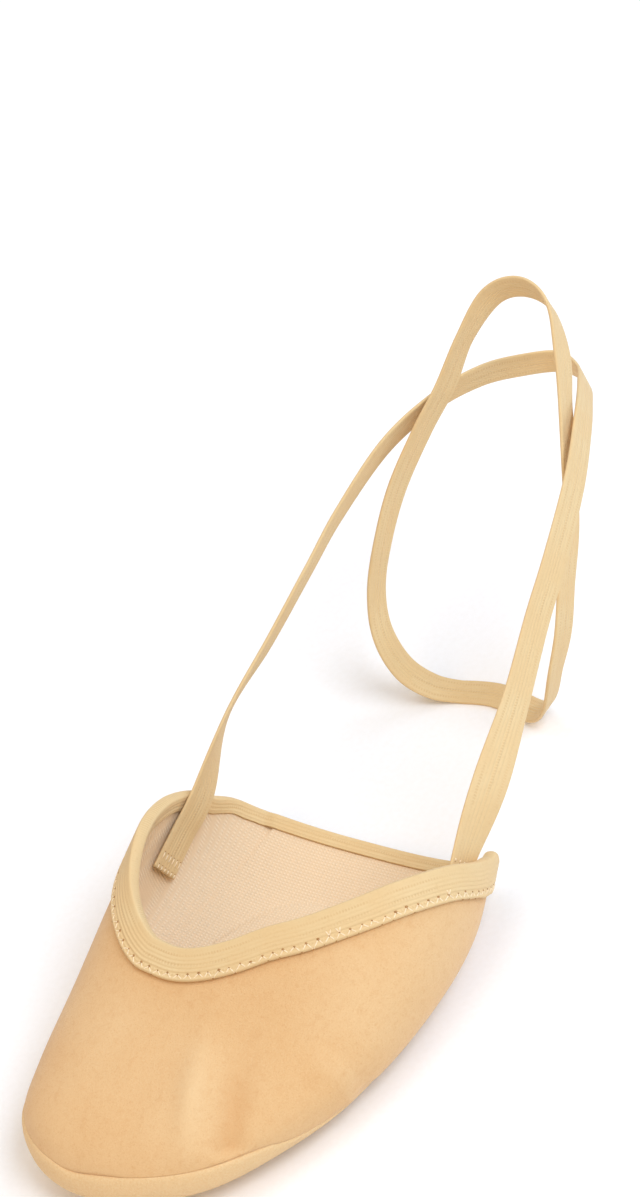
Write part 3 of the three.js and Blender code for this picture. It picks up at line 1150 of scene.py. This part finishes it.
@dataclass
class CollarBinding:
    """The elastic around the opening, folded over its edge: a ribbed band outside, a narrow fold inside."""

    pattern: Pattern
    finish: WovenElastic
    width: float = 7.8
    thickness: float = 1.1
    beyond: float = 0.2
    selvedge: float = 0.45
    lip: float = 0.9
    fold_width: float = 3.4
    fold_thickness: float = 0.45
    fold_clear: float = 0.15
    # The fold comes to a point over this length.
    fold_nose: float = 0.25
    fold_points: int = 9
    lip_points: int = 13
    # Between the fold and the band, the crease lies this far outside the opening's edge.
    crease: float = 0.12
    # The band's underside runs from here to its front edge.
    under_from: float = 0.3
    under_points: int = 13
    selvedge_points: int = 5
    upper_wall: float = 1.2
    sole_wall: float = 2.0
    # The fold moves from the upper's wall to the thicker sole's this many degrees before the seam's end.
    step_up: tuple[float, float] = (10.0, 2.0)
    around: int = 900
    ribs: int = 7
    rib_depth: float = 0.08
    rib_points: int = 6
    stitch_row: float = 5.9
    stitch_dip: float = 0.14
    stitch_dip_reach: float = 0.45
    # The stitches pull in only what lies within this depth of the outer face.
    face_depth: float = 0.3
    ear_degrees: float = 97.0
    ear_reach: float = 4.0
    ear_height: float = 1.0
    # The band is laid on lines around the last, the first of them this far from the opening's edge.
    first_line: float = -1.2
    line_count: int = 23

    @property
    def front(self) -> float:
        """The distance from the opening's edge to the band's front edge."""
        return self.width - self.beyond

    @property
    def face_lift(self) -> float:
        """How far the band's outer face stands off the last."""
        return self.pattern.gap + self.thickness

    def section(self) -> Array:
        """Works out the cross-section, from the band's front over the lip to the fold inside and back.

        Returns:
            The rows of its fold points, in order.
        """
        gap, top, end = self.pattern.gap, self.face_lift, self.front - self.selvedge
        low, high = -self.fold_clear - self.fold_thickness, -self.fold_clear
        flat = np.linspace(0, 1, self.ribs * self.rib_points + 1)
        groove = self.rib_depth * (0.5 - 0.5 * np.cos(2 * np.pi * self.ribs * flat))
        fold = np.linspace(0, self.fold_width - self.fold_nose, self.fold_points)
        points = [FoldPoint(end * (1 - t), top - g, 0) for t, g in zip(flat, groove)]
        for a in np.radians(np.linspace(90, 270, self.lip_points + 2))[1:-1]:
            height = (top + low) / 2 + (top - low) / 2 * np.sin(a)
            points.append(FoldPoint(self.lip * np.cos(a), height, 0.5 - 0.5 * np.sin(a)))
        points += [FoldPoint(inward, low, 1) for inward in fold]
        points.append(FoldPoint(self.fold_width, (low + high) / 2, 1))
        points += [FoldPoint(inward, high, 1) for inward in fold[:0:-1]]
        points.append(FoldPoint(-self.crease, (gap + high) / 2, 0.5))
        under = np.linspace(self.under_from, end, self.under_points)
        points += [FoldPoint(inward, gap, 0) for inward in under]
        for a in np.radians(np.linspace(-90, 90, self.selvedge_points + 2))[1:-1]:
            height = gap + self.thickness / 2 * (1 + np.sin(a))
            points.append(FoldPoint(end + self.selvedge * np.cos(a), height, 0))
        return np.array(points)

    def build(self) -> bpy.types.Object:
        """Builds the band around the opening.

        Returns:
            The binding.
        """
        last = self.pattern.last
        degrees = self.pattern.even_degrees(self.around)
        inward, height, wall_share = self.section().T
        stations, lines = self.lines(degrees)
        above = np.clip(np.searchsorted(stations, inward), 1, len(stations) - 1)
        share = ((inward - stations[above - 1]) / (stations[above] - stations[above - 1]))[:, None, None]
        places = lines[above - 1] * (1 - share) + lines[above] * share
        start, end = [self.pattern.seam_end - before for before in self.step_up]
        wall = self.upper_wall + (self.sole_wall - self.upper_wall) * soft_step(np.abs(degrees), start, end)
        away = (inward - self.stitch_row) / self.stitch_dip_reach
        dip = self.stitch_dip * np.exp(-(away**2)) * (height > self.face_lift - self.face_depth)
        points = last.lifted(places, (height - dip)[:, None] - wall_share[:, None] * wall[None])
        along = lengths_along(last.skin(self.pattern.opening(degrees)))
        band = Band("collar_elastic", points, along, inward - self.front / 2, True, self.finish.material())
        return dress(band.build(), "elastic", "collar_binding")

    def lines(self, degrees: Array) -> tuple[Array, Array]:
        """Works out lines around the last, side by side across the band, with a small ear at the rear corner.

        Args:
            degrees: The angles around the section of the places along the edge.

        Returns:
            The distances of the lines from the opening's edge, and the lines as chart places.
        """
        last = self.pattern.last
        ear = self.ear_height * np.exp(-(((degrees - self.ear_degrees) / self.ear_reach) ** 2))
        edge = self.pattern.opening(degrees)
        stations = np.linspace(self.first_line, self.front, self.line_count)
        lines = []
        for station in stations:
            line = last.sidestep(edge, station, True)
            risen = last.sidestep(line, -1.0, True) - line
            fade = np.clip(1 - station / self.front, 0, 1) ** 2
            lines.append(line + risen * (ear * fade)[:, None])
        return stations, np.array(lines)


class Stitch(NamedTuple):
    """One thread over the cloth: its two needle holes, the direction that looks out, and its first hole's
    size."""

    start: Array
    end: Array
    out: Array
    hole: float


@dataclass
class Stitches:
    """Threads over cloth as one joined mesh. Each rises from a needle hole, drawn as a dark dot of painted
    shade, and dives into the next."""

    name: str
    stitches: list[Stitch]
    thread: SpunThread
    hole: NeedleHoleShade
    thickness: float = 0.32
    # At its ends a thread keeps this share of its thickness.
    end_share: float = 0.55
    # Its middle line lies this share of its thickness under the cloth's face, and bows up by the rise.
    sunk_share: float = 0.35
    rise: float = 0.16
    # The dark dot of painted shade at a hole stands this far above the cloth's face and sinks this far into it.
    dot_height: float = 0.06
    dot_depth: float = 0.1
    # A dot is this share as wide across its thread as along it.
    dot_oval: float = 0.75
    beads: int = 7
    sides: int = 8

    def build(self) -> bpy.types.Object:
        """Builds all the threads and dots.

        Returns:
            The object.
        """
        side = np.arange(self.sides)
        threads = [self.thread_points(stitch) for stitch in self.stitches]
        # Dark dots of painted shade at the needle holes.
        dots = [self.dot_points(stitch) for stitch in self.stitches if stitch.hole]
        size = self.beads * self.sides
        thread = np.arange(len(threads))[:, None] * size
        ends = [thread + side[::-1], thread + side + size - self.sides]
        dot = np.arange(len(dots))[:, None] * 2 * self.sides + len(threads) * size
        caps = [dot + side, dot + side[::-1] + self.sides]
        groups = [(self.tubes(thread, self.beads), 0), (self.tubes(dot, 2)[:, ::-1], 1)]
        groups += [(cap, 0) for cap in ends] + [(cap, 1) for cap in caps]
        materials = [self.thread.material(), self.hole.material()]
        return dress(make_piece(self.name, np.vstack(threads + dots), groups, materials), "elastic")

    def tubes(self, first: Array, rings: int) -> Array:
        """Gives the side faces of tubes.

        Args:
            first: The index of each tube's first point.
            rings: How many rings a tube has.

        Returns:
            The faces, four corners a row.
        """
        ring = np.arange(rings - 1)[:, None] * self.sides
        side = np.arange(self.sides)
        beside = (side + 1) % self.sides
        wall = faces_of(ring + side, ring + beside, ring + self.sides + beside, ring + self.sides + side)
        return (wall[None] + first[:, :, None]).reshape(-1, 4)

    def thread_points(self, stitch: Stitch) -> Array:
        """Gives the rings of one thread, from hole to hole.

        Args:
            stitch: The stitch.

        Returns:
            The rings' points.
        """
        t = np.linspace(0, 1, self.beads)
        bow = 1 - (2 * t - 1) ** 2
        center = stitch.start * (1 - t)[:, None] + stitch.end * t[:, None]
        center = center + stitch.out * (self.rise * np.sqrt(bow) - self.sunk_share * self.thickness)[:, None]
        radius = self.thickness / 2 * (self.end_share + (1 - self.end_share) * bow)
        beside = unit(np.cross(stitch.out, stitch.end - stitch.start))
        turn = np.linspace(0, 2 * np.pi, self.sides, endpoint=False)
        ring = np.cos(turn)[:, None] * beside + np.sin(turn)[:, None] * stitch.out
        return (center[:, None] + ring[None] * radius[:, None, None]).reshape(-1, 3)

    def dot_points(self, stitch: Stitch) -> Array:
        """Gives the two rings of the flat dot of painted shade in a thread's first hole.

        Args:
            stitch: The stitch.

        Returns:
            The rings' points, the outer one first.
        """
        along = unit(stitch.end - stitch.start)
        along = unit(along - stitch.out * (along @ stitch.out))
        beside = np.cross(stitch.out, along)
        turn = np.linspace(0, 2 * np.pi, self.sides, endpoint=False)[:, None]
        ring = stitch.start + (np.cos(turn) * along + self.dot_oval * np.sin(turn) * beside) * stitch.hole / 2
        return np.vstack([ring + stitch.out * self.dot_height, ring - stitch.out * self.dot_depth])


class LooseLoop(NamedTuple):
    """A loose loop of thread over the binding: its angle around the section, and how far it stands up."""

    degrees: float
    reach: float


@dataclass
class BindingSeam:
    """The zigzag that sews the binding down along its front edge, with a few loose loops."""

    binding: CollarBinding
    thread: SpunThread
    hole: NeedleHoleShade
    low_row: float = 7.35
    # The zigzag's low points lie this much deeper than its high ones.
    low_drop: float = 0.05
    pitch: float = 2.7
    wander: float = 0.14
    top_hole: float = 0.62
    low_hole: float = 0.42
    unevenness: float = 0.3
    # The least and the largest share of its usual size that a hole may have.
    hole_shares: tuple[float, float] = (0.3, 1.5)
    # A loose loop's two threads stand apart by this share of its reach, either way.
    lean: float = 0.45
    loops: tuple[LooseLoop, ...] = (
        LooseLoop(36.1, 1.4),
        LooseLoop(38.7, 1.3),
        LooseLoop(66.5, 1.2),
        LooseLoop(68.2, 1.0),
    )
    seed: int = 11

    def build(self) -> bpy.types.Object:
        """Builds the zigzag and its loose loops.

        Returns:
            The threads.
        """
        binding, last = self.binding, self.binding.pattern.last
        degrees = binding.pattern.even_degrees(binding.around)
        edge = binding.pattern.opening(degrees)
        top, low = [last.sidestep(edge, row, True) for row in (binding.stitch_row, self.low_row)]
        top, low = [np.vstack([line, line[:1]]) for line in (top, low)]
        lengths = lengths_along(last.skin(top))
        count = int(lengths[-1] // self.pitch)
        at = np.arange(2 * count) * lengths[-1] / (2 * count)
        on_top = np.arange(2 * count) % 2 == 0
        places = np.where(on_top[:, None], look_up(lengths, top, at), look_up(lengths, low, at))
        face = binding.face_lift - binding.stitch_dip
        lift = np.where(on_top, face, face - self.low_drop)
        points, outs = last.lifted(places, lift), last.normals(places)
        chance = np.random.default_rng(self.seed)
        shift = chance.normal(0, self.wander, points.shape)
        points = points + shift - outs * (shift * outs).sum(-1, keepdims=True)
        holes = np.where(on_top, self.top_hole, self.low_hole)
        holes = holes * np.clip(chance.normal(1, self.unevenness, len(holes)), *self.hole_shares)
        ends = np.roll(points, -1, axis=0)
        stitches = [Stitch(*row) for row in zip(points, ends, outs, holes)]
        angles = np.interp(at, lengths, np.append(degrees, 180.0))
        for loop in self.loops:
            n = 2 * int(np.argmin(np.abs(angles[::2] - loop.degrees)))
            rise = unit(points[n] - (points[n - 1] + points[n + 1]) / 2) * loop.reach
            lean = unit(points[n + 1] - points[n - 1]) * self.lean * loop.reach
            for side in Side:
                stitches.append(Stitch(points[n] + rise + lean * side.value, points[n], outs[n], 0.0))
        return Stitches("binding_stitches", stitches, self.thread, self.hole).build()


@dataclass(frozen=True)
class Webbing:
    """The cross-section of a woven band: fine ribs on both faces and rounded selvedges, in millimetres."""

    thickness: float = 1.0
    nominal_width: float = 7.6
    ribs: int = 8
    rib_depth: float = 0.06
    rib_points: int = 5
    edge_points: int = 5

    def loop(self) -> Array:
        """Works out the section's loop.

        Returns:
            The points in order: the share of the width across, and the height from the inner face.
        """
        radius = self.thickness / 2
        reach = 0.5 - radius / self.nominal_width
        flat = np.linspace(-1, 1, self.ribs * self.rib_points + 1)
        groove = self.rib_depth * (0.5 - 0.5 * np.cos(np.pi * self.ribs * (flat + 1)))
        outer = np.stack([flat * reach, self.thickness - groove], -1)
        inner = np.stack([flat * reach, groove], -1)[::-1]
        turn = np.radians(np.linspace(90, -90, self.edge_points + 2)[1:-1])
        bend = np.stack([np.cos(turn) * (0.5 - reach), radius * np.sin(turn)], -1)
        return np.vstack([outer, bend + [reach, radius], inner, -bend + [-reach, radius]])


class Stop(NamedTuple):
    """A point of a strap's centre line, the direction that its outer face looks in, and the strap's width."""

    back: float
    side: float
    height: float
    face_x: float
    face_y: float
    face_z: float
    width: float = 7.6


class Tuck(NamedTuple):
    """A point of a strap's end inside the collar, by its place on the last's skin, and the strap's width."""

    back: float
    degrees: float
    width: float


class TackRow(NamedTuple):
    """A row of short stitches across each of a strap's ends: its distance from the end, how many stitches it
    has, how long each is, the side of the strap that it shows on, and the size of its needle holes."""

    from_end: float
    count: int
    length: float
    side: Side
    hole: float


@dataclass
class Strap:
    """A flat elastic strap along a route of stops, the same on both sides of the shoe. A strap without tucked
    ends is a loop."""

    name: str
    node: str
    pattern: Pattern
    finish: WovenElastic
    stops: tuple[Stop, ...]
    steps: int
    tucks: tuple[Tuck, ...] = ()
    wall: float = 1.2
    # The tucked ends lie this far inside the toe cap's wall.
    wall_gap: float = 1.15
    webbing: Webbing = field(default_factory=Webbing)
    # A loop's table runs on by this many rows past both its ends, so that it closes smoothly.
    rows_past: int = 3
    # Where the strap lies on the floor, its inner face stays up by this share of its thickness.
    flattest: float = 0.8
    # A row of tacks reaches this share of the strap's width to either side.
    tack_reach: float = 0.4

    def route(self) -> Array:
        """Works out the whole route.

        Returns:
            Rows of three columns for the point, three for the outer direction and one for the width.
        """
        rows = np.array(self.stops)
        rows[:, 0] = self.pattern.last.toe_x - rows[:, 0]
        rows[:, 3:6] = unit(rows[:, 3:6])
        flip = np.array([1, -1, 1, 1, -1, 1, 1])
        if not self.tucks:
            return np.vstack([rows, rows[-2:0:-1] * flip])
        return np.vstack([self.tucked(Side.OUTER), rows, rows[-2::-1] * flip, self.tucked(Side.INNER)[::-1]])

    def tucked(self, side: Side) -> Array:
        """Works out the route inside the collar, flat against the wall.

        Args:
            side: The side of the shoe.

        Returns:
            Rows as in the route.
        """
        rows = np.array(self.tucks)
        places = self.pattern.last.chart(rows[:, 0], rows[:, 1] * side.value)
        depth = self.wall + self.wall_gap + self.webbing.thickness / 2
        points, faces = self.pattern.last.lifted(places, -depth), self.pattern.last.normals(places)
        return np.hstack([points, faces, rows[:, 2:]])

    def frames(self) -> tuple[Array, Array, Array, Array]:
        """Works out the strap's even places.

        Returns:
            The length so far, the centre, the outer direction, and the direction across times the width.
        """
        rows = self.route()
        closed = not self.tucks
        past = self.rows_past
        keys = np.arange(-past, len(rows) + past + 1) if closed else np.arange(len(rows))
        fine = np.linspace(0, len(rows) if closed else len(rows) - 1, FINE * self.steps)
        fine_rows = smooth_at(keys, rows[keys % len(rows)], fine)
        lengths = lengths_along(fine_rows[:, :3])
        at = np.linspace(0, lengths[-1], self.steps, endpoint=not closed)
        even = look_up(lengths, fine_rows, at)
        center, face, width = even[:, :3], even[:, 3:6], even[:, 6:]
        if closed:
            along = unit(np.roll(center, -1, axis=0) - np.roll(center, 1, axis=0))
        else:
            along = unit(np.gradient(center, axis=0))
        out = unit(face - along * (face * along).sum(-1, keepdims=True))
        return at, center, out, np.cross(along, out) * width

    def build(self) -> bpy.types.Object:
        """Builds the strap.

        Returns:
            The strap.
        """
        at, center, out, across = self.frames()
        loop = self.webbing.loop()
        lift = loop[:, 1] - self.webbing.thickness / 2
        points = center[None] + across[None] * loop[:, 0, None, None] + out[None] * lift[:, None, None]
        low = np.where(lift > 0, 0.0, self.webbing.thickness * self.flattest)[:, None]
        points[..., 2] = np.maximum(points[..., 2], low)
        flat = loop[:, 0] * self.webbing.nominal_width
        band = Band(self.name, points, at, flat, not self.tucks, self.finish.material())
        return dress(band.build(), "elastic", self.node)

    def tacks(self, rows: tuple[TackRow, ...]) -> list[Stitch]:
        """Gives the rows of short stitches at both of the strap's ends.

        Args:
            rows: The rows at one end.

        Returns:
            The stitches.
        """
        at, *parts = self.frames()
        stitches = []
        for row in rows:
            for place in (row.from_end, at[-1] - row.from_end):
                ends = look_up(at, np.hstack(parts), np.array([place, place + row.length]))
                center, across, out = ends[:, :3], ends[:, 6:], ends[0, 3:6] * row.side.value
                for share in np.linspace(-self.tack_reach, self.tack_reach, row.count):
                    holes = center + across * share + out * self.webbing.thickness / 2
                    stitches.append(Stitch(*holes, out, row.hole))
        return stitches


ANKLE_STRAP_TUCKS = (Tuck(85, 89, 9.6), Tuck(95, 85.5, 9.6), Tuck(105, 81.5, 9.8))
ANKLE_STRAP_TACKS = (
    TackRow(1.2, 6, 1.8, Side.INNER, 0.4),
    TackRow(4.5, 6, 1.8, Side.INNER, 0.4),
    TackRow(21.6, 5, 0.8, Side.OUTER, 0.36),
)
ANKLE_STRAP_STOPS = (
    Stop(123, 39, 35.4, 0.05, 0.86, 0.6, 9.6),
    Stop(143, 36.5, 41.8, -0.05, 0.95, 0.52, 8.0),
    Stop(162, 33.8, 49.2, -0.1, 1, 0.5),
    Stop(177, 32, 54.6, -0.15, 1, 0.45),
    Stop(197, 28, 60.5, -0.35, 1, 0.4),
    Stop(213, 22, 62.5, -0.45, 0.85, 0.3),
    Stop(225.5, 15.6, 61.5, -0.6, 0.8, 0.2),
    Stop(234.5, 9, 58.5, -0.85, 0.6, 0.1),
    Stop(239, 0, 57.5, -1, 0, 0.05),
)
HEEL_STRAP_STOPS = (
    Stop(234, 0, 87, -1, 0, 0.15),
    Stop(231.5, 8.5, 84.5, -0.75, 0.65, 0.2),
    Stop(223.5, 14.4, 76.5, -0.35, 0.9, 0.3),
    Stop(214.5, 17.8, 67.5, -0.45, 0.87, 0.25),
    Stop(205, 21.8, 59.8, -0.4, 0.9, 0.25),
    Stop(193.5, 26, 49.5, -0.3, 0.95, 0.2),
    Stop(183, 27.5, 39.5, -0.15, 1, 0.15),
    Stop(175.5, 28, 30, -0.05, 1, 0.05),
    Stop(170, 26, 20.5, 0, 1, -0.2),
    Stop(168.5, 22.2, 10.3, 0, 0.85, -0.55),
    Stop(170, 16.5, 3.4, 0, 0.45, -0.9),
    Stop(172.5, 9.5, 0.5, 0, 0, -1),
    Stop(174, 0, 0.5, 0, 0, -1),
)


# Studio


class Lamp(NamedTuple):
    """An area light: its direction from the shoe in degrees, its distance and size in metres, its power and
    its colour."""

    name: str
    azimuth: float
    elevation: float
    distance: float
    size: float
    watts: float
    color: str


@dataclass
class Studio:
    """White paper sweep, soft lights, and the camera that sees the shoe as the photograph does."""

    azimuth: float = 39.23
    elevation: float = 46.06
    roll: float = 24.98
    distance_mm: float = 900.0
    scale_px_per_mm: float = 4.11
    origin_px: tuple[float, float] = (310.16, 974.71)
    origin_drop_mm: float = 1.5
    frame_px: tuple[int, int] = (640, 1197)
    sensor_mm: float = 36.0
    floor_half_mm: float = 3000.0
    room_light: float = 0.38
    room_color: str = "#ffffff"
    paper: PaperSweep = field(default_factory=PaperSweep)
    lamps: tuple[Lamp, ...] = (
        Lamp("key", -6, 50, 2.6, 1.6, 42.0, "#e6f0ff"),
        Lamp("side", -66, 36, 2.6, 1.6, 17.0, "#cfe2ff"),
        Lamp("fill", 100, 42, 2.6, 2.0, 18.0, "#ffd8ab"),
        Lamp("top", 200, 75, 2.6, 2.4, 16.0, "#ffffff"),
    )

    def direction(self, azimuth: float, elevation: float) -> Array:
        """Gives the direction at an azimuth, from +Y towards +X, and an elevation."""
        a, e = np.radians([azimuth, elevation])
        return np.array([np.sin(a) * np.cos(e), np.cos(a) * np.cos(e), np.sin(e)])

    def camera(self) -> None:
        """Makes the camera, aimed so that the shoe's origin falls on its pixel of the photograph."""
        away = self.direction(self.azimuth, self.elevation)
        right = unit(np.cross(-away, [0, 0, 1]))
        up = np.cross(right, -away)
        roll = np.radians(self.roll)
        right, up = right * np.cos(roll) - up * np.sin(roll), right * np.sin(roll) + up * np.cos(roll)
        focal_px = self.scale_px_per_mm * self.distance_mm
        aside, above = (np.array(self.frame_px) / 2 - self.origin_px) / focal_px
        back = unit(away - right * aside + up * above)
        right = unit(np.cross(up, back))
        up = np.cross(back, right)
        data = bpy.data.cameras.new("photo_camera")
        data.sensor_width = self.sensor_mm
        data.lens = focal_px / max(self.frame_px) * self.sensor_mm
        camera = bpy.data.objects.new("photo_camera", data)
        place = Vector((away * self.distance_mm - [0, 0, self.origin_drop_mm]) * MM)
        turn = Matrix(np.stack([right, up, back], axis=1).tolist()).to_4x4()
        camera.matrix_world = Matrix.Translation(place) @ turn
        bpy.context.scene.collection.objects.link(camera)
        bpy.context.scene.camera = camera

    def floor(self) -> None:
        """Makes the paper floor under the shoe."""
        corners = np.array([[-1, -1, 0], [1, -1, 0], [1, 1, 0], [-1, 1, 0]]) * self.floor_half_mm
        make_piece("paper_floor", corners, [(np.arange(4)[None], 0)], [self.paper.material()])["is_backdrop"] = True

    def light(self) -> None:
        """Makes the lamps and the even light of the room."""
        for lamp in self.lamps:
            data = bpy.data.lights.new(lamp.name, "AREA")
            data.shape = "DISK"
            data.size = lamp.size
            data.energy = lamp.watts
            data.color = linear(lamp.color)[:3]
            light = bpy.data.objects.new(lamp.name, data)
            away = Vector(self.direction(lamp.azimuth, lamp.elevation))
            light.location = away * lamp.distance
            light.rotation_mode = "QUATERNION"
            light.rotation_quaternion = away.to_track_quat("Z", "Y")
            bpy.context.scene.collection.objects.link(light)
        world = bpy.data.worlds.new("even_room_light")
        world.use_nodes = True
        world.node_tree.nodes.clear()
        glow = add_node(world.node_tree, "Background", {0: linear(self.room_color), 1: self.room_light})
        add_node(world.node_tree, "OutputWorld", {"Surface": glow})
        bpy.context.scene.world = world
        bpy.context.scene.view_settings.view_transform = "Standard"


def corners(bounds: tuple[Vector, Vector]) -> list[list[float]]:
    """Turns a box into plain lists of numbers."""
    return [list(corner) for corner in bounds]


def main() -> None:
    """Builds the studio and the shoe's pieces in order."""
    logging.basicConfig(level=logging.INFO, format="%(name)s %(message)s")
    cad_box = corners(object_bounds())
    studio = Studio()
    studio.camera()
    studio.floor()
    studio.light()
    pattern = Pattern()
    lining, elastic, thread, hole = KnittedLining(), WovenElastic(), SpunThread(), NeedleHoleShade()
    Upper(pattern, BrushedMicrofibre(), lining).build()
    Sole(pattern, SplitSuede(), lining).build()
    Insole(pattern, lining).build()
    binding = CollarBinding(pattern, elastic)
    binding.build()
    BindingSeam(binding, thread, hole).build()
    strap = Strap(
        name="ankle_elastic",
        node="ankle_strap",
        pattern=pattern,
        finish=elastic,
        stops=ANKLE_STRAP_STOPS,
        steps=520,
        tucks=ANKLE_STRAP_TUCKS,
    )
    strap.build()
    Stitches("strap_tacks", strap.tacks(ANKLE_STRAP_TACKS), thread, hole).build()
    Strap("heel_elastic", "heel_strap", pattern, elastic, HEEL_STRAP_STOPS, steps=460).build()
    {"cad": cad_box, "visual": corners(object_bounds())}


if __name__ == "__main__":
    main()
